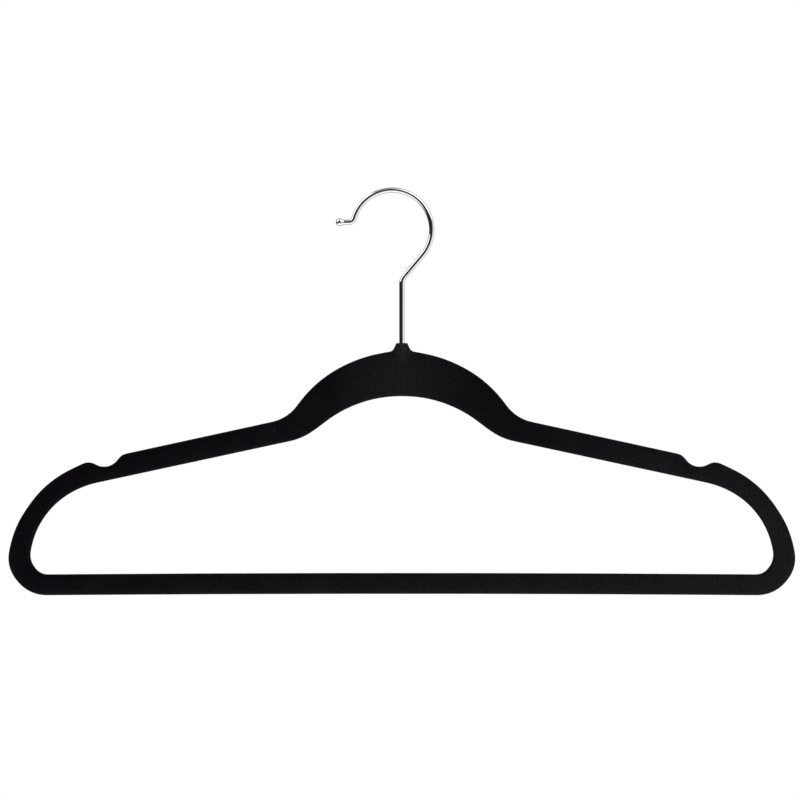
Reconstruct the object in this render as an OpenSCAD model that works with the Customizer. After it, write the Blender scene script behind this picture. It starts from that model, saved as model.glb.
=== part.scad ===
// Slim velvet clothes hanger: a flocked plastic body that swivels on a chrome wire hook.
// The origin is the rail seat: the inside of the hook's crown, on the swivel axis.
// The hanger lies in the XZ plane, its front faces -Y and +Z is up.

/* [Body] */
// Width across the shoulder ends
body_w = 450; // [420:5:480]
// Height from the trouser bar's lower edge to the top of the neck
body_h = 144.3; // [141:0.1:150]
// Thickness of the finished body, velvet included
body_t = 5; // [4.8:0.1:6]
// Height of the trouser bar
bar_h = 12; // [9:0.5:14]
// Height of the strap notches' floor above the bar's lower edge
notch_h = 73.8; // [72:0.1:76]

/* [Velvet] */
// Thickness of the flocked coat
pile_t = 0.5; // [0.4:0.05:0.6]
// Width and depth of the step that eases the body's edges
edge_step = 0.6; // [0.4:0.1:0.8]

/* [Hook] */
// Diameter of the hook's wire
wire_d = 3; // [2.6:0.1:3.2]
// Height from the top of the neck to the rail seat
hook_h = 85.3; // [75:0.1:95]
// Radius of the hook's main bend, to the middle of the wire
bend_r = 22.7; // [20:0.1:25]
// How far the main bend's centre stands to the side of the swivel axis
bend_offset = 5.6; // [4:0.1:7]
// Lean of the straight run between the shank and the main bend, in degrees
lean = 40; // [35:1:45]
// Angle at which the main bend ends, in degrees from +X
bend_end = 163.6; // [155:0.1:170]
// Diameter of the ball at the hook's tip
ball_d = 4.5; // [4.2:0.1:5.4]

/* [Swivel] */
// Diameter of the round neck, velvet included
neck_d = 7; // [6.2:0.1:7.6]
// Depth of the hook's socket below the top of the neck
socket_depth = 20; // [18:0.5:22]
// Gap between the shank and its socket, on the radius
swivel_gap = 0.05; // [0.02:0.01:0.1]
// Depth of the ring groove that holds the hook in
groove_depth = 0.4; // [0.3:0.05:0.5]

/* [Hidden] */

$fn = 64;
chord_error = 0.03;         // the furthest that an outline's chords stray from its arcs
arc_share = 0.998;          // the most of an edge that the arcs at its two ends may take up
half_w = body_w / 2;
wire_r = wire_d / 2;
ball_r = ball_d / 2;
neck_z = -hook_h;           // top of the neck
bar_z = neck_z - body_h;    // lower edge of the trouser bar

// Round boss that carries the socket: a straight length, then a taper that sinks into the plate.
boss_straight = 9;
boss_taper = 12.5;
mouth_gap = 0.3;            // room in the velvet around the shank

// Snap: a lip inside the socket sits in the shank's ring groove.
lip_depth = 14;             // from the top of the neck down to the lip
lip_h = 1.6;
lip_play = 0.2;             // room for the lip in the groove, above and below
nose_h = 1.2;               // taper that leads the shank past the lip
foot_gap = 0.5;             // room below the shank's foot

foot_bend_r = 6;            // bend between the shank and the leaning run
tip_bend_r = 3;             // reverse bend at the hook's open end
tail_len = 5.2;             // straight wire from that bend to the middle of the ball
collar_angle = 20;          // slope of the ball's collar, down to the wire
collar_wall = 0.1;          // the collar's thickness at its thin end
crimp = 0.02;               // how tightly the ball grips the wire, on the radius
joint_swell = 0.02;         // how far the ball that joins two lengths of wire stands out of them

// Points of the hook's middle line, [x, z].
bend_centre = [-bend_offset, -sqrt(pow(bend_r - wire_r, 2) - pow(bend_offset, 2))];
lean_top = bend_centre + bend_r * [cos(lean), -sin(lean)];
lean_corner = [0, lean_top[1] - lean_top[0] / tan(lean)];
foot_tangent = foot_bend_r * tan(lean / 2);
lean_foot = lean_corner + foot_tangent * [sin(lean), cos(lean)];
shank_top = lean_corner[1] - foot_tangent;
bend_tip = bend_centre + bend_r * [cos(bend_end), sin(bend_end)];
tip_centre = bend_centre + (bend_r + tip_bend_r) * [cos(bend_end), sin(bend_end)];
tail_start = tip_centre - [0, tip_bend_r];
ball_centre = tail_start - [tail_len, 0];

// Control corners, [x, height above the bar's lower edge, corner radius], of the right half of each
// closed outline, counter-clockwise from the swivel axis. The left half mirrors them.
bar_rise = 1.5;             // the bar's control corner; its arc rises about half as far
bar_arc_r = 0.9 * pow(half_w - 20, 2) / bar_rise;
body_corners = fitted(mirrored([
    [0, bar_rise, bar_arc_r],
    [half_w - 11.8, 0, 21],                  // lower corner
    [half_w + 1.5, 16.2, 19.5],
    [half_w - 3.2, 38.9, 57],                // shoulder end
    [half_w - 20.8, 65.1, 61],
    [half_w - 46.3, notch_h + 3.4, 7.5],     // outer lip of the strap notch
    [half_w - 51.8, notch_h - 0.1, 8],       // floor of the notch
    [half_w - 59, notch_h - 0.3, 9],
    [half_w - 64.9, notch_h + 6.8, 5.5],     // inner lip of the notch
    [65.5, body_h - 43.1, 24],               // foot of the arch
    [49.5, body_h - 21.7, 69],
    [24.3, body_h - 7.9, 79],                // crown of the arch
    [5.4, body_h - 4.6, 1.6],                // foot of the neck
    [neck_d / 2 - edge_step, body_h, 0.8],
]));
window_corners = fitted(mirrored([
    [0, bar_h + bar_rise, bar_arc_r],
    [half_w - 18.5, bar_h, 8],
    [half_w - 11.7, bar_h + 7.8, 11.5],
    [half_w - 16.8, 47.2, 46.5],             // shoulder end
    [half_w - 42.2, 62.6, 52.5],
    [57.8, body_h - 54.8, 34],               // foot of the arch
    [49.5, body_h - 49.5, 74],
    [24.6, body_h - 30.4, 70.5],             // crown of the arch
]));

function mirrored(half) = concat(half, [
    for (i = [len(half) - 1 : -1 : 0]) if (half[i][0] > 0) [-half[i][0], half[i][1], half[i][2]]
]);
function point(corner) = [corner[0], corner[1]];
function unit(v) = v / norm(v);
function left_of(v) = [-v[1], v[0]];
function neighbour(corners, i) = point(corners[(i + len(corners)) % len(corners)]);
function way_in(corners, i) = unit(neighbour(corners, i) - neighbour(corners, i - 1));
function way_out(corners, i) = unit(neighbour(corners, i + 1) - neighbour(corners, i));

// How far a corner's arc reaches along its edges.
function reach(corners, i) =
    corners[(i + len(corners)) % len(corners)][2] * tan(acos(way_in(corners, i) * way_out(corners, i)) / 2);

// How much of their radii the arcs at both ends of edge i have room for.
function room(corners, i) =
    arc_share * norm(neighbour(corners, i + 1) - neighbour(corners, i))
    / (reach(corners, i) + reach(corners, i + 1));

// The same control corners, their radii reduced wherever two arcs would run into each other.
function fitted(corners) = [
    for (i = [0 : len(corners) - 1])
        [corners[i][0], corners[i][1], corners[i][2] * min(1, room(corners, i - 1), room(corners, i))]
];

// The same control corners with every edge moved to its left by d.
function inset(corners, d) = [
    for (i = [0 : len(corners) - 1])
        let (a = way_in(corners, i), b = way_out(corners, i),
             moved = point(corners[i]) + d * (left_of(a) + left_of(b)) / (1 + a * b))
        [moved[0], moved[1], max(0.05, corners[i][2] - sign(cross(a, b)) * d)]
];

// The outline's points: each corner is rounded by an arc tangent to both its edges.
function outline(corners) = [for (i = [0 : len(corners) - 1]) each corner_arc(corners, i)];
function corner_arc(corners, i) =
    let (a = way_in(corners, i), b = way_out(corners, i), r = corners[i][2],
         side = sign(cross(a, b)), turn = acos(a * b),
         centre = point(corners[i]) - a * r * tan(turn / 2) + side * r * left_of(a),
         start = -side * r * left_of(a),
         steps = ceil(turn / (2 * acos(1 - chord_error / max(r, 1)))))
    [for (k = [0 : steps])
        let (t = side * turn * k / steps)
        centre + start * cos(t) + left_of(start) * sin(t)];

// The frame's plate, t thick along Y, its edges set in by d.
module plate(d, t) {
    rotate([90, 0, 0]) linear_extrude(height = t, center = true) difference() {
        polygon(outline(inset(body_corners, d)));
        polygon(outline(inset(window_corners, -d)));
    }
}

// The body's shape at a depth below its finished surface: a plate with stepped edges and the boss.
module body_shape(depth) {
    t = body_t - 2 * depth;
    r = neck_d / 2 - depth;
    top = neck_z - depth;
    boss_foot = neck_z - boss_straight;
    translate([0, 0, bar_z]) {
        plate(depth, t - 2 * edge_step);
        plate(depth + edge_step, t);
    }
    translate([0, 0, top - edge_step]) cylinder(h = edge_step, r1 = r, r2 = r - edge_step / 2);
    translate([0, 0, boss_foot]) cylinder(h = top - edge_step - boss_foot, r = r);
    translate([0, 0, boss_foot - boss_taper]) cylinder(h = boss_taper, r1 = t / 2, r2 = r);
}

// Bore for the shank, with the lip left standing in it.
module socket() {
    r = wire_r + swivel_gap;
    translate([0, 0, neck_z - socket_depth]) {
        cylinder(h = socket_depth + 1, r = r - groove_depth);
        cylinder(h = socket_depth - lip_depth - lip_h, r = r);
    }
    translate([0, 0, neck_z - lip_depth]) cylinder(h = lip_depth + 1, r = r);
}

// Injection-moulded plastic core of the whole frame.
module plastic_core() {
    color([0.12, 0.12, 0.13]) difference() {
        body_shape(pile_t);
        socket();
    }
}

// Flocked coat all over the core, open only where the shank enters the neck.
module velvet_coat() {
    color([0.05, 0.05, 0.055]) difference() {
        body_shape(0);
        body_shape(pile_t);
        translate([0, 0, neck_z - 2 * pile_t]) cylinder(h = 3 * pile_t, r = wire_r + mouth_gap);
    }
}

// Straight wire between two points of the XZ plane.
module wire_run(from, to) {
    way = to - from;
    translate([from[0], 0, from[1]]) rotate([0, atan2(way[0], way[1]), 0])
        cylinder(h = norm(way), r = wire_r);
}

// Bent wire: an arc of the XZ plane, its angles measured from +X towards +Z.
module wire_bend(centre, r, start, sweep) {
    translate([centre[0], 0, centre[1]]) rotate([90, 0, 0]) rotate([0, 0, start])
        rotate_extrude(angle = sweep) translate([r, 0]) circle(r = wire_r);
}

// Joins the lengths of wire that meet at a point.
module wire_joint(at) {
    translate([at[0], 0, at[1]]) sphere(r = wire_r + joint_swell);
}

// Round rod on the swivel axis.
module rod(from_z, to_z, r) {
    translate([0, 0, from_z]) cylinder(h = to_z - from_z, r = r);
}

// Lower end of the wire: a tapered nose, the ring groove and the shank.
module shank() {
    foot = neck_z - socket_depth + foot_gap;
    groove_low = neck_z - lip_depth - lip_h - lip_play;
    groove_high = neck_z - lip_depth + lip_play;
    translate([0, 0, foot]) cylinder(h = nose_h, r1 = wire_r - groove_depth, r2 = wire_r);
    rod(foot + nose_h, groove_low, wire_r);
    rod(groove_low, groove_high, wire_r - groove_depth);
    rod(groove_high, shank_top, wire_r);
}

// Chrome-plated steel wire, bent in one plane.
module hook_wire() {
    color([0.82, 0.83, 0.85]) {
        shank();
        wire_bend([foot_bend_r, shank_top], foot_bend_r, 180 - lean, lean);
        wire_run(lean_foot, lean_top);
        wire_bend(bend_centre, bend_r, -lean, bend_end + lean);
        wire_bend(tip_centre, tip_bend_r, 270, bend_end - 90);
        wire_run(tail_start, ball_centre);
        for (at = [[0, shank_top], lean_foot, lean_top, bend_tip, tail_start]) wire_joint(at);
    }
}

// Ball with a tapered collar, crimped over the end of the wire.
module hook_ball_tip() {
    collar_start = ball_r * sin(collar_angle);
    collar_r = ball_r * cos(collar_angle);
    collar_end_r = wire_r + collar_wall;
    collar_len = (collar_r - collar_end_r) / tan(collar_angle);
    color([0.85, 0.86, 0.88]) translate([ball_centre[0], 0, ball_centre[1]]) rotate([0, 90, 0])
        difference() {
            union() {
                sphere(r = ball_r);
                translate([0, 0, collar_start]) cylinder(h = collar_len, r1 = collar_r, r2 = collar_end_r);
            }
            cylinder(h = collar_start + collar_len + 1, r = wire_r - crimp);
        }
}

plastic_core();
velvet_coat();
hook_wire();
hook_ball_tip();
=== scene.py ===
"""Slim velvet clothes hanger: a flocked body that swivels on a chrome wire hook. Metres throughout."""
import math

import bmesh
import bpy
import numpy as np
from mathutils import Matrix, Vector, geometry, kdtree, noise


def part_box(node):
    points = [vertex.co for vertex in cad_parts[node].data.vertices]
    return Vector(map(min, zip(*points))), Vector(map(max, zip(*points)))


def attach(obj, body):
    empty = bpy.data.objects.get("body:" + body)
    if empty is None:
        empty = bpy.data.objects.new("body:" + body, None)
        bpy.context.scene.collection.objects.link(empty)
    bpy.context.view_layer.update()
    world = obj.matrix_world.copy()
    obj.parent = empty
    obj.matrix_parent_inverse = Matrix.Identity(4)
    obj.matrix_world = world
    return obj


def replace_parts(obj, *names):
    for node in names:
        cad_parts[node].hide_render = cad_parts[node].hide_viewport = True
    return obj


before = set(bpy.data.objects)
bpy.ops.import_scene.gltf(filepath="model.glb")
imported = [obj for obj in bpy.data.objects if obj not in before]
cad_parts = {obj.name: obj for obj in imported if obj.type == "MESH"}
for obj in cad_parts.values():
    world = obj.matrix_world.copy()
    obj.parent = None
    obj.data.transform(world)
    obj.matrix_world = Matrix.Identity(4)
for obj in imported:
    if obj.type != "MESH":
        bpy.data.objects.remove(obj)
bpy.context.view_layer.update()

MM = 0.001
SAME = 1e-7                 # points nearer than this are one

# ---------------------------------------------------------------- sizes, from the frame

COAT_LOW, COAT_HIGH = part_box("velvet_coat")
WIRE_LOW, WIRE_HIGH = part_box("hook_wire")
BALL_LOW, BALL_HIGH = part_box("hook_ball_tip")

# Body
NECK_TOP = COAT_HIGH.z
NECK_R = COAT_HIGH.y
HALF_T = 2.5 * MM           # half the plate's thickness at its rounded edge
CROWN = 0.2 * MM            # how much fuller the plate is in the middle of a limb
CROWN_REACH = 6 * MM        # distance from the edge at which it is fullest
EDGE_ROUND = 2.6 * MM       # width of the rounded edge, seen from the front
EDGE_FULL = 2.4             # how full its curve is; 2 would be an ellipse
EDGE_RINGS = 8
STEP = 0.8 * MM             # spacing of the mesh along an edge
FILL_STEP = 1.6 * MM        # spacing of the mesh on the flat
SOFTEN = 0.9 * MM           # how far the outline's corners are smoothed
BOSS_STRAIGHT = 9 * MM      # round boss: straight length below the neck's top, then its slope
BOSS_SLOPE = 0.056
BOSS_LENGTH = 8 * MM        # sloping length after which the boss sinks into the plate
BOSS_SINK = 20              # radius lost beyond that: this times the extra length squared, in metres
BLEND = 8                   # how sharply the boss meets the plate; higher is sharper
NECK_CUT = NECK_TOP - 1.2 * MM
HOLE_R = 1.6 * MM           # hole the hook's shank stands in
HOLE_FOOT = WIRE_LOW.z - 0.7 * MM

# Hook
WIRE_R = 1.5 * MM
BEND_R = 22.7 * MM
LEAN = math.radians(40)     # of the straight between shank and bend
BEND_END = math.radians(163.6)
FOOT_BEND_R = 6 * MM
TIP_BEND_R = 3 * MM
BEND_CENTRE = (WIRE_HIGH.x - BEND_R - WIRE_R, WIRE_HIGH.z - BEND_R - WIRE_R)
BALL_R = (BALL_HIGH.z - BALL_LOW.z) / 2
BALL_X = BALL_LOW.x + BALL_R
NOSE_H = 1.2 * MM           # taper at the shank's foot
GROOVE_DEPTH = 0.4 * MM     # ring groove that holds the hook in the neck
GROOVE_TOP = NECK_TOP - 13.8 * MM
GROOVE_FOOT = NECK_TOP - 15.8 * MM
COLLAR_SLOPE = math.radians(20)
COLLAR_RIM_R = WIRE_R + 0.1 * MM
ROUND_SIDES = 48            # of the wire and of the ball

# Studio
VIEW_WIDTH = 457.6 * MM     # what the camera sees across at the hanger
VIEW_MIDDLE = Vector((-1.06 * MM, 0, WIRE_HIGH.z - 121.6 * MM))
FLOOR_Z = COAT_LOW.z - 0.55


# ---------------------------------------------------------------- materials

class Shader:
    """A new node material, with short ways to add and join its nodes."""

    def __init__(self, name):
        self.material = bpy.data.materials.new(name)
        self.material.use_nodes = True
        self.tree = self.material.node_tree
        self.surface = self.tree.nodes["Principled BSDF"]
        coordinates = self.tree.nodes.new("ShaderNodeTexCoord")
        self.place = coordinates.outputs["Object"]
        self.facing = coordinates.outputs["Normal"]

    def set(self, **values):
        """Sets the surface's own sockets; an underscore stands for a space."""
        for name, value in values.items():
            self.surface.inputs[name.replace("_", " ")].default_value = value

    def link(self, source, target):
        self.tree.links.new(source, self.surface.inputs[target])

    def add(self, kind, inputs=(), **settings):
        """A new node, its inputs linked or set by name or number."""
        node = self.tree.nodes.new(kind)
        for name, value in settings.items():
            setattr(node, name, value)
        for name, value in dict(inputs).items():
            if isinstance(value, bpy.types.NodeSocket):
                self.tree.links.new(value, node.inputs[name])
            else:
                node.inputs[name].default_value = value
        return node

    def noise(self, size, detail=2.0, roughness=0.5):
        """Noise from 0 to 1 whose lumps are about this size."""
        settings = {"Vector": self.place, "Scale": 1 / size, "Detail": detail, "Roughness": roughness}
        return self.add("ShaderNodeTexNoise", settings).outputs["Fac"]

    def ramp(self, value, low, high, start=0.0, end=1.0):
        """The value's stretch from low to high, mapped to the stretch from start to end."""
        settings = {"Value": value, "From Min": low, "From Max": high, "To Min": start, "To Max": end}
        return self.add("ShaderNodeMapRange", settings).outputs["Result"]

    def product(self, a, b):
        return self.add("ShaderNodeMath", {0: a, 1: b}, operation="MULTIPLY").outputs[0]

    def total(self, a, b):
        return self.add("ShaderNodeMath", {0: a, 1: b}, operation="ADD").outputs[0]

    def vector(self, operation, a, b, output="Vector"):
        return self.add("ShaderNodeVectorMath", {0: a, 1: b}, operation=operation).outputs[output]

    def distance(self, point, place=None):
        """Distance from a point, of the surface or of the place given instead."""
        return self.vector("DISTANCE", place or self.place, point, "Value")

    def mix(self, fac, a, b):
        """Colour a where fac is 0, colour b where it is 1."""
        node = self.add("ShaderNodeMix", data_type="RGBA")
        for socket, value in zip((node.inputs[0], node.inputs[6], node.inputs[7]), (fac, a, b)):
            if isinstance(value, bpy.types.NodeSocket):
                self.tree.links.new(value, socket)
            else:
                socket.default_value = value
        return node.outputs[2]

    def bump(self, height, distance, strength, normal=None):
        """A normal that stands the height's lumps this far off, over another one if given."""
        inputs = {"Height": height, "Distance": distance, "Strength": strength}
        if normal is not None:
            inputs["Normal"] = normal
        return self.add("ShaderNodeBump", inputs).outputs["Normal"]


def grey(value, tint=(1, 1, 1)):
    """A grey as red, green, blue and alpha, tinted if asked."""
    return tuple(value * t for t in tint) + (1,)


def velvet():
    """Short black flock with lint: painted light makes it lighter low down, to the right, where it faces
    down, over the middle and down the neck; painted shade darkens it round the edges.
    """
    s = Shader("black_velvet")
    s.set(Roughness=0.9, Sheen_Weight=0.04, Sheen_Roughness=0.6, Specular_IOR_Level=0.06)
    s.set(Sheen_Tint=grey(0.5, (1, 0.85, 1.15)))

    # Painted light: lighter low down and to the right, and lighter where it faces down, as if lit from
    # below; its tone also differs at random in soft patches.
    along = s.vector("DOT_PRODUCT", s.place, (0.6, 0, -0.8), "Value")
    patches = s.ramp(s.noise(18 * MM, 3), 0.3, 0.7, -0.1, 0.1)
    facing = s.add("ShaderNodeSeparateXYZ", {0: s.facing})
    # Painted light from below: lighter where the surface faces down.
    painted_light_from_below = s.ramp(facing.outputs["Z"], -0.08, 0.08, 0.12, -0.12)
    painted_light_and_patches = s.total(s.ramp(along, -10 * MM, 340 * MM), s.total(patches, painted_light_from_below))
    pile = s.mix(painted_light_and_patches, grey(0.0018, (1.12, 0.6, 1.38)), grey(0.0127, (1, 0.97, 1.11)))

    # Painted light: a pool of light over the yoke, and a painted highlight down the middle of the neck.
    # Painted pool of light over the yoke.
    yoke = s.ramp(s.distance((-1 * MM, 0, NECK_TOP - 26 * MM)), 3 * MM, 40 * MM, 1, 0)
    pile = s.mix(yoke, pile, grey(0.0124, (0.97, 0.98, 1.12)))
    slim = s.vector("MULTIPLY", s.place, (2.4, 0, 1))
    # Painted highlight down the middle of the neck.
    neck_painted_highlight = s.ramp(s.distance((0, 0, NECK_TOP), slim), 0, 15 * MM, 0.85, 0)
    pile = s.mix(neck_painted_highlight, pile, grey(0.026, (1, 1, 1.06)))

    # Its grain: tufts and single fibres; and darker round a spot on the right flank.
    tufts = s.ramp(s.noise(1.3 * MM, 3, 0.6), 0.3, 0.7, 0.5, 1.5)
    fibres = s.noise(0.25 * MM, 2)
    right_flank_darkening = s.ramp(s.distance((68 * MM, 0, -138 * MM)), 10 * MM, 80 * MM, 0.66, 1)
    grain = s.product(tufts, s.product(right_flank_darkening, s.ramp(fibres, 0.35, 0.65, 0.3, 1.6)))
    pile = s.add("ShaderNodeVectorMath", {0: pile, "Scale": grain}, operation="SCALE").outputs[0]

    # Painted shade: darker where the edge turns away from the front and back; then the lint, over it all.
    flat = s.add("ShaderNodeMath", {0: facing.outputs["Y"]}, operation="ABSOLUTE").outputs[0]
    pile = s.mix(s.ramp(flat, 0.3, 0.88, 0.75, 0), pile, grey(0.0012))
    lint = s.add("ShaderNodeTexVoronoi", {"Vector": s.place, "Scale": 1 / (15 * MM)})
    speck = s.ramp(lint.outputs["Distance"], 0.014, 0.02, 1, 0)
    s.link(s.mix(speck, pile, grey(0.12)), "Base Color")

    clumps = s.bump(s.noise(1.6 * MM, 4, 0.65), 0.25 * MM, 0.5)
    s.link(s.bump(fibres, 0.12 * MM, 0.8, clumps), "Normal")
    return s.material


def chrome(name, tint, rough):
    """Bright plating over drawn wire: faint haze and hairline scratches."""
    s = Shader(name)
    s.set(Metallic=1.0, Base_Color=tint)
    haze = s.ramp(s.noise(6 * MM, 3), 0.3, 0.7, 0.7 * rough, 1.3 * rough)
    scratches = s.noise(0.35 * MM, 3, 0.7)
    s.link(s.total(haze, s.ramp(scratches, 0.6, 0.85, 0, 0.08)), "Roughness")
    s.link(s.bump(scratches, 0.004 * MM, 0.1), "Normal")
    return s.material


def moulded_plastic():
    """Matt black core under the flock."""
    s = Shader("core_plastic")
    s.set(Specular_IOR_Level=0.4)
    grain = s.noise(0.5 * MM, 3)
    s.link(s.mix(s.noise(8 * MM), grey(0.022), grey(0.034)), "Base Color")
    s.link(s.ramp(grain, 0.3, 0.7, 0.5, 0.7), "Roughness")
    s.link(s.bump(grain, 0.05 * MM, 0.4), "Normal")
    return s.material


def pale_floor():
    """Off-white, and lit from within a little, so that its edge doesn't show against the white."""
    s = Shader("pale_floor")
    s.set(Roughness=0.9)
    s.link(s.mix(s.noise(0.4, 2), grey(0.86), grey(0.9)), "Base Color")
    s.set(Emission_Color=grey(1), Emission_Strength=0.72)
    return s.material


# ---------------------------------------------------------------- mesh helpers

def piece(name, verts, faces, material, body):
    """A smooth mesh object that rides on a body."""
    mesh = bpy.data.meshes.new(name)
    mesh.from_pydata([tuple(v) for v in verts], [], [tuple(f) for f in faces])
    mesh.update()
    bm = bmesh.new()
    bm.from_mesh(mesh)
    bmesh.ops.recalc_face_normals(bm, faces=bm.faces)
    bm.to_mesh(mesh)
    bm.free()
    mesh.shade_smooth()
    mesh.materials.append(material)
    obj = bpy.data.objects.new(name, mesh)
    bpy.context.scene.collection.objects.link(obj)
    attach(obj, body)
    return obj


def tube_faces(rings, sides):
    """Quads between rings of vertices, and a fan cap over each end; the caps' middles come last."""
    faces = []
    for here in range(0, (rings - 1) * sides, sides):
        there = here + sides
        for s in range(sides):
            after = (s + 1) % sides
            faces.append((here + s, here + after, there + after, there + s))
    end = (rings - 1) * sides
    first_middle, last_middle = rings * sides, rings * sides + 1
    faces += [(first_middle, (s + 1) % sides, s) for s in range(sides)]
    faces += [(last_middle, end + s, end + (s + 1) % sides) for s in range(sides)]
    return faces


# ---------------------------------------------------------------- velvet body

def cut(bm, place, normal, keep_above=True):
    """Cuts the mesh along a plane, drops what lies above it if asked, and returns the edges of the cut."""
    found = bmesh.ops.bisect_plane(bm, geom=[*bm.verts, *bm.edges, *bm.faces], dist=SAME,
                                   plane_co=place, plane_no=normal, clear_outer=not keep_above)["geom_cut"]
    return [e for e in found if isinstance(e, bmesh.types.BMEdge)]


def section_lines(node):
    """The lines, as arrays of (x, z), where a CAD node's surface below the neck's top crosses y = 0."""
    bm = bmesh.new()
    bm.from_mesh(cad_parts[node].data)
    bmesh.ops.remove_doubles(bm, verts=bm.verts, dist=SAME)
    cut(bm, (0, 0, NECK_CUT), (0, 0, 1), keep_above=False)
    near = {}
    for edge in cut(bm, (0, 0, 0), (0, 1, 0)):
        a, b = edge.verts
        near.setdefault(a, []).append(b)
        near.setdefault(b, []).append(a)
    lines = []
    while near:
        here = next((v for v in near if len(near[v]) == 1), next(iter(near)))
        line = []
        while here is not None:
            line.append((here.co.x, here.co.z))
            here = next((v for v in near.pop(here) if v in near), None)
        lines.append(np.array(line))
    bm.free()
    return lines


def even_loop(points, step, soften):
    """A closed line's points respaced evenly, run anticlockwise, with its facets smoothed away."""
    x, z = points.T
    if np.sum(x * np.roll(z, -1) - np.roll(x, -1) * z) < 0:
        points = points[::-1]
    closed = np.vstack([points, points[:1]])
    along = np.r_[0, np.cumsum(np.hypot(*np.diff(closed, axis=0).T))]
    count = round(along[-1] / step)
    at = np.arange(count) * along[-1] / count
    even = np.c_[np.interp(at, along, closed[:, 0]), np.interp(at, along, closed[:, 1])]
    reach = int(4 * soften / step)
    weights = np.exp(-0.5 * (np.arange(-reach, reach + 1) * step / soften) ** 2)
    weights /= weights.sum()
    return sum(w * np.roll(even, k, axis=0) for k, w in zip(range(-reach, reach + 1), weights))


def left_normals(loop):
    """Unit vectors square to a closed line at its points, to the left of the way it runs."""
    way = np.roll(loop, -1, axis=0) - np.roll(loop, 1, axis=0)
    way /= np.hypot(*way.T)[:, None]
    return np.c_[-way[:, 1], way[:, 0]]


def inside(points, loop):
    """Which points lie inside a closed line."""
    a, b = loop, np.roll(loop, -1, axis=0)
    found = np.zeros(len(points), bool)
    for (ax, az), (bx, bz) in zip(a, b):
        crosses = (az > points[:, 1]) != (bz > points[:, 1])
        if crosses.any():
            at = ax + (points[:, 1] - az) * (bx - ax) / (bz - az if bz != az else 1)
            found ^= crosses & (points[:, 0] < at)
    return found


def body_outlines():
    """The silhouette, run on above the neck, and the window, both as even loops."""
    lines = section_lines("velvet_coat")
    outer = max(lines, key=lambda line: np.ptp(line[:, 0]))
    windows = [line for line in lines if line[:, 1].max() < NECK_TOP - 5 * MM]
    window = min(windows, key=lambda line: np.ptp(line[:, 0]))
    turns = np.linspace(0, math.pi, 24)[::1 if outer[-1, 0] > 0 else -1]
    cap = np.c_[NECK_R * np.cos(turns), NECK_TOP + 3 * MM + NECK_R * np.sin(turns)]
    outer = np.vstack([outer, cap])
    return even_loop(outer, STEP, SOFTEN), even_loop(window, STEP, SOFTEN)


def half_thickness(x, z, d):
    """How far the body's face stands off its middle plane, at a distance d in from the edge."""
    rounded = (1 - (1 - np.minimum(d, EDGE_ROUND) / EDGE_ROUND) ** EDGE_FULL) ** (1 / EDGE_FULL)
    plate = rounded * (HALF_T + CROWN * np.sin(np.clip(d / CROWN_REACH, 0, 1) * math.pi / 2))
    below = np.clip(NECK_TOP - BOSS_STRAIGHT - z, 0, None)
    boss_r = NECK_R - BOSS_SLOPE * below - BOSS_SINK * np.clip(below - BOSS_LENGTH, 0, None) ** 2
    boss = np.sqrt(np.clip(boss_r ** 2 - x ** 2, 0, None)) * (boss_r > 0)
    return (plate ** BLEND + boss ** BLEND) ** (1 / BLEND)


def face_grid(outer, window):
    """Points of an even grid on the body's flat, clear of both rounded edges."""
    tree = kdtree.KDTree(len(outer) + len(window))
    for i, (x, z) in enumerate(np.vstack([outer, window])):
        tree.insert((x, z, 0), i)
    tree.balance()
    low, high = outer.min(0), outer.max(0)
    rows = np.arange(low[1], high[1], FILL_STEP * math.sqrt(3) / 2)
    grid = np.array([(x + (r % 2) * FILL_STEP / 2, z)
                     for r, z in enumerate(rows) for x in np.arange(low[0], high[0], FILL_STEP)])
    grid = grid[inside(grid, outer) & ~inside(grid, window)]
    away = np.array([tree.find((x, z, 0))[2] for x, z in grid])
    clear = away > EDGE_ROUND + 0.6 * FILL_STEP
    return grid[clear], away[clear]


def velvet_body(material):
    """Both faces of the body, welded along its outline, with a dished neck around the shank."""
    outer, window = body_outlines()
    normals = np.vstack([left_normals(outer), -left_normals(window)])
    edge = np.vstack([outer, window])
    n_outer, n_edge = len(outer), len(edge)
    turns = np.linspace(0, math.pi / 2, EDGE_RINGS + 1)
    depths = EDGE_ROUND * (1 - np.cos(turns))
    grid, grid_depth = face_grid(outer, window)
    flat = np.vstack([edge + normals * d for d in depths] + [grid])
    depth = np.r_[np.repeat(depths, n_edge), grid_depth]
    half = half_thickness(flat[:, 0], flat[:, 1], depth)
    half[:n_edge] = 0

    after = np.r_[np.roll(np.arange(n_outer), -1), n_outer + np.roll(np.arange(n_edge - n_outer), -1)]
    quads = [(r * n_edge + i, r * n_edge + after[i], (r + 1) * n_edge + after[i], (r + 1) * n_edge + i)
             for r in range(EDGE_RINGS) for i in range(n_edge)]
    first = EDGE_RINGS * n_edge
    inner = flat[first:]
    links = [(i, after[i]) for i in range(n_edge)]
    _, _, fill, _, _, _ = geometry.delaunay_2d_cdt([Vector(p) for p in inner], links, [], 0, 1e-9)
    middles = np.array([inner[list(f)].mean(0) for f in fill])
    kept = inside(middles, inner[:n_outer]) & ~inside(middles, inner[n_outer:n_edge])
    front = quads + [tuple(first + i for i in f) for f, keep in zip(fill, kept) if keep]

    count = len(flat)
    back_of = np.r_[np.arange(n_edge), count + np.arange(count - n_edge)]
    verts = np.vstack([np.c_[flat[:, 0], -half, flat[:, 1]],
                       np.c_[flat[:, 0], half, flat[:, 1]][n_edge:]])
    faces = front + [tuple(back_of[i] for i in reversed(f)) for f in front]
    body = piece("velvet_body", verts, faces, material, "hanger_body")
    dish_neck(body.data)
    ruffle(body.data)
    return body


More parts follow.
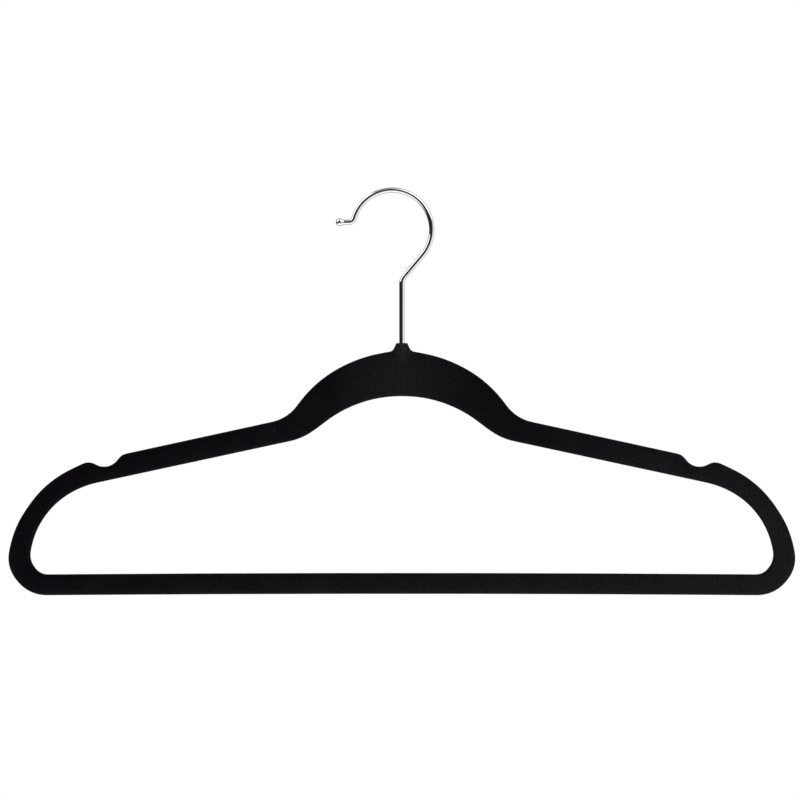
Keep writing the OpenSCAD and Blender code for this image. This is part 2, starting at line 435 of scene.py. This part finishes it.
def dish_neck(mesh):
    """Cuts the neck off level, rounds its rim, dishes its top and sinks the hole for the shank."""
    # Each ring's radius, and its drop below the neck's top.
    rounding = [(NECK_R, 0.8 * MM), (NECK_R - 0.05 * MM, 0.45 * MM),
                (NECK_R - 0.2 * MM, 0.18 * MM), (NECK_R - 0.5 * MM, 0.02 * MM)]
    dish = [(2.6 * MM, 0.06 * MM), (2.2 * MM, 0.2 * MM), (1.9 * MM, 0.38 * MM), (1.7 * MM, 0.46 * MM)]
    hole = [(HOLE_R, 0.5 * MM), (HOLE_R, 0.9 * MM), (HOLE_R, NECK_TOP - HOLE_FOOT)]
    bm = bmesh.new()
    bm.from_mesh(mesh)
    rim = cut(bm, (0, 0, NECK_CUT), (0, 0, 1), keep_above=False)
    for radius, drop in rounding + dish + hole:
        made = bmesh.ops.extrude_edge_only(bm, edges=rim)["geom"]
        rim = [e for e in made if isinstance(e, bmesh.types.BMEdge)]
        for v in [v for v in made if isinstance(v, bmesh.types.BMVert)]:
            out = Vector((v.co.x, v.co.y)).normalized() * radius
            v.co = (out.x, out.y, NECK_TOP - drop)
    bmesh.ops.holes_fill(bm, edges=rim, sides=0)
    bmesh.ops.recalc_face_normals(bm, faces=bm.faces)
    bm.to_mesh(mesh)
    bm.free()
    mesh.shade_smooth()


def ruffle(mesh):
    """The flock's slightly uneven thickness, a fifth of it along the body's edge."""
    moved = []
    for v in mesh.vertices:
        broad = noise.noise(v.co / (9 * MM)) * 0.05 * MM
        small = noise.noise(v.co / (2.2 * MM)) * 0.02 * MM
        moved.extend(v.co + v.normal * (broad + small) * (0.2 + 0.8 * abs(v.normal.y)))
    mesh.vertices.foreach_set("co", moved)
    mesh.update()


# ---------------------------------------------------------------- hook

def arc(centre, radius, start, end, step):
    """Points and headings along an arc; it runs anticlockwise if end is more than start."""
    count = max(2, math.ceil(abs(end - start) / step))
    turn = math.copysign(math.pi / 2, end - start)
    return [((centre[0] + radius * math.cos(a), centre[1] + radius * math.sin(a)), a + turn)
            for a in np.linspace(start, end, count + 1)]


def hook_path():
    """(x, z), heading and wire radius at each ring of the hook, from its foot to the ball."""
    lean_top = (BEND_CENTRE[0] + BEND_R * math.cos(LEAN), BEND_CENTRE[1] - BEND_R * math.sin(LEAN))
    lean_corner = lean_top[1] - lean_top[0] / math.tan(LEAN)
    shank_top = lean_corner - FOOT_BEND_R * math.tan(LEAN / 2)
    foot = WIRE_LOW.z
    up = math.pi / 2
    thin = WIRE_R - GROOVE_DEPTH
    soft = 0.05 * MM
    shank = [(foot, thin), (foot + NOSE_H, WIRE_R),
             (GROOVE_FOOT - soft, WIRE_R), (GROOVE_FOOT + soft, thin),
             (GROOVE_TOP - soft, thin), (GROOVE_TOP + soft, WIRE_R)]
    shank += [(z, WIRE_R) for z in np.linspace(GROOVE_TOP + 1 * MM, shank_top - 1 * MM, 12)]
    path = [((0, z), up, r) for z, r in shank]
    reverse_centre = (BEND_CENTRE[0] + (BEND_R + TIP_BEND_R) * math.cos(BEND_END),
                      BEND_CENTRE[1] + (BEND_R + TIP_BEND_R) * math.sin(BEND_END))
    fine, coarse = math.radians(4), math.radians(1.5)
    bends = arc((FOOT_BEND_R, shank_top), FOOT_BEND_R, math.pi, math.pi - LEAN, fine)
    bends += arc(BEND_CENTRE, BEND_R, -LEAN, BEND_END, coarse)
    bends += arc(reverse_centre, TIP_BEND_R, BEND_END + math.pi, 3 * math.pi / 2, fine)[1:]
    path += [(p, heading, WIRE_R) for p, heading in bends]
    (tail_x, tail_z), _ = bends[-1]
    path += [((x, tail_z), math.pi, WIRE_R) for x in np.linspace(tail_x, BALL_X, 8)[1:]]
    return path


def hook_wire(material):
    """One bent wire, from its nose in the neck's hole to the middle of the ball."""
    path = hook_path()
    verts = []
    for (x, z), heading, radius in path:
        side = (-math.sin(heading), math.cos(heading))
        for k in range(ROUND_SIDES):
            a = 2 * math.pi * k / ROUND_SIDES
            across = radius * math.cos(a)
            verts.append((x + side[0] * across, radius * math.sin(a), z + side[1] * across))
    verts += [(path[0][0][0], 0, path[0][0][1]), (path[-1][0][0], 0, path[-1][0][1])]
    faces = tube_faces(len(path), ROUND_SIDES)
    return piece("chrome_hook", verts, faces, material, "hook")


def ball_tip(material):
    """Ball with a tapered collar that is crimped over the wire's end."""
    taper = (BALL_R * math.cos(COLLAR_SLOPE) - COLLAR_RIM_R) / math.tan(COLLAR_SLOPE)
    collar_end = BALL_R * math.sin(COLLAR_SLOPE) + taper
    ball = [(-BALL_R * math.cos(a), BALL_R * math.sin(a))
            for a in np.linspace(0.12, math.pi / 2 + COLLAR_SLOPE, 20)]
    collar = [(collar_end - 0.12 * MM, COLLAR_RIM_R + 0.04 * MM), (collar_end - 0.02 * MM, COLLAR_RIM_R),
              (collar_end, COLLAR_RIM_R - 0.04 * MM), (collar_end, WIRE_R - 0.02 * MM),
              (0, WIRE_R - 0.02 * MM)]
    profile = ball + collar
    centre_z = (BALL_HIGH.z + BALL_LOW.z) / 2
    turns = [2 * math.pi * k / ROUND_SIDES for k in range(ROUND_SIDES)]
    verts = [(BALL_X + x, r * math.sin(a), centre_z + r * math.cos(a)) for x, r in profile for a in turns]
    verts += [(BALL_X - BALL_R, 0, centre_z), (BALL_X, 0, centre_z)]
    faces = tube_faces(len(profile), ROUND_SIDES)
    return piece("chrome_ball_tip", verts, faces, material, "hook")


# ---------------------------------------------------------------- studio

def softbox(name, azimuth, elevation, distance, width, height, radiance):
    """A soft area light that faces the hanger, seen from it at this azimuth and elevation."""
    light = bpy.data.lights.new(name, "AREA")
    light.shape = "RECTANGLE"
    light.size = width
    light.size_y = height
    light.energy = radiance * math.pi * width * height
    lamp = bpy.data.objects.new(name, light)
    a, e = math.radians(azimuth), math.radians(elevation)
    away = Vector((math.sin(a) * math.cos(e), -math.cos(a) * math.cos(e), math.sin(e)))
    lamp.location = Vector((0, 0, VIEW_MIDDLE.z)) + away * distance
    lamp.rotation_euler = away.to_track_quat("Z", "Y").to_euler()
    lamp.visible_camera = False
    bpy.context.scene.collection.objects.link(lamp)


def studio_world():
    """Seen directly, plain white; as light, dark in front and behind, bright to the right and below."""
    world = bpy.data.worlds.new("studio")
    bpy.context.scene.world = world
    world.use_nodes = True
    tree = world.node_tree
    add = tree.nodes.new
    way = add("ShaderNodeTexCoord").outputs["Generated"]

    def smooth_ramp(value, low, high, start, end):
        ramp = add("ShaderNodeMapRange")
        ramp.interpolation_type = "SMOOTHSTEP"
        for name, number in zip(("From Min", "From Max", "To Min", "To Max"), (low, high, start, end)):
            ramp.inputs[name].default_value = number
        tree.links.new(value, ramp.inputs["Value"])
        return ramp.outputs["Result"]

    def math_node(operation, a, b):
        node = add("ShaderNodeMath")
        node.operation = operation
        tree.links.new(a, node.inputs[0])
        tree.links.new(b, node.inputs[1])
        return node.outputs[0]

    toward = add("ShaderNodeVectorMath")
    toward.operation = "DOT_PRODUCT"
    toward.inputs[1].default_value = Vector((0.7, 0.6, -0.6)).normalized()
    tree.links.new(way, toward.inputs[0])
    axes = add("ShaderNodeSeparateXYZ")
    tree.links.new(way, axes.inputs[0])

    # Brightness by direction, each measured from -1, facing away, to 1, facing straight there.
    right = smooth_ramp(toward.outputs["Value"], -0.45, 0.7, 0.02, 1.1)
    not_behind = smooth_ramp(axes.outputs["Y"], 0.2, 0.8, 1, 0.15)
    below = smooth_ramp(axes.outputs["Z"], -0.8, -0.2, 1.15, 0)
    overhead = smooth_ramp(axes.outputs["Z"], 0.35, 1.1, 0, 0.45)
    level = math_node("MULTIPLY", math_node("MAXIMUM", right, below), not_behind)

    room, white = tree.nodes["Background"], add("ShaderNodeBackground")
    tree.links.new(math_node("ADD", level, overhead), room.inputs["Strength"])
    room.inputs["Color"].default_value = grey(1)
    white.inputs["Color"].default_value = grey(1)
    either = add("ShaderNodeMixShader")
    tree.links.new(add("ShaderNodeLightPath").outputs["Is Camera Ray"], either.inputs[0])
    tree.links.new(room.outputs[0], either.inputs[1])
    tree.links.new(white.outputs[0], either.inputs[2])
    tree.links.new(either.outputs[0], tree.nodes["World Output"].inputs["Surface"])


def pale_stage():
    """A round floor well below the hanger."""
    bm = bmesh.new()
    bmesh.ops.create_circle(bm, cap_ends=True, segments=96, radius=2)
    bmesh.ops.translate(bm, verts=bm.verts, vec=(0, 0, FLOOR_Z))
    mesh = bpy.data.meshes.new("floor")
    bm.to_mesh(mesh)
    bm.free()
    mesh.materials.append(pale_floor())
    floor = bpy.data.objects.new("floor", mesh)
    bpy.context.scene.collection.objects.link(floor)
    floor.visible_glossy = False


def camera():
    """Straight at the front, from the height of the middle of the hanger."""
    lens = bpy.data.cameras.new("camera")
    lens.lens = 100
    lens.clip_end = 50
    distance = VIEW_WIDTH * lens.lens / lens.sensor_width
    eye = bpy.data.objects.new("camera", lens)
    eye.location = VIEW_MIDDLE + Vector((0, -distance, 0))
    eye.rotation_euler = (math.pi / 2, 0, 0)
    bpy.context.scene.collection.objects.link(eye)
    bpy.context.scene.camera = eye


# ---------------------------------------------------------------- the scene

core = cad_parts["plastic_core"].data
core.materials.clear()
core.materials.append(moulded_plastic())
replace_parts(velvet_body(velvet()), "velvet_coat")
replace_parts(hook_wire(chrome("chromed_wire", (0.86, 0.87, 0.89, 1), rough=0.07)), "hook_wire")
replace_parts(ball_tip(chrome("chromed_ball", (0.88, 0.89, 0.91, 1), rough=0.16)), "hook_ball_tip")

camera()
studio_world()
pale_stage()
softbox("softbox_right", azimuth=46, elevation=45, distance=1.4, width=1.1, height=1.3, radiance=1.5)
softbox("softbox_left", azimuth=-80, elevation=40, distance=1.5, width=1.1, height=1.4, radiance=1.9)
bpy.context.scene.view_settings.view_transform = "Standard"
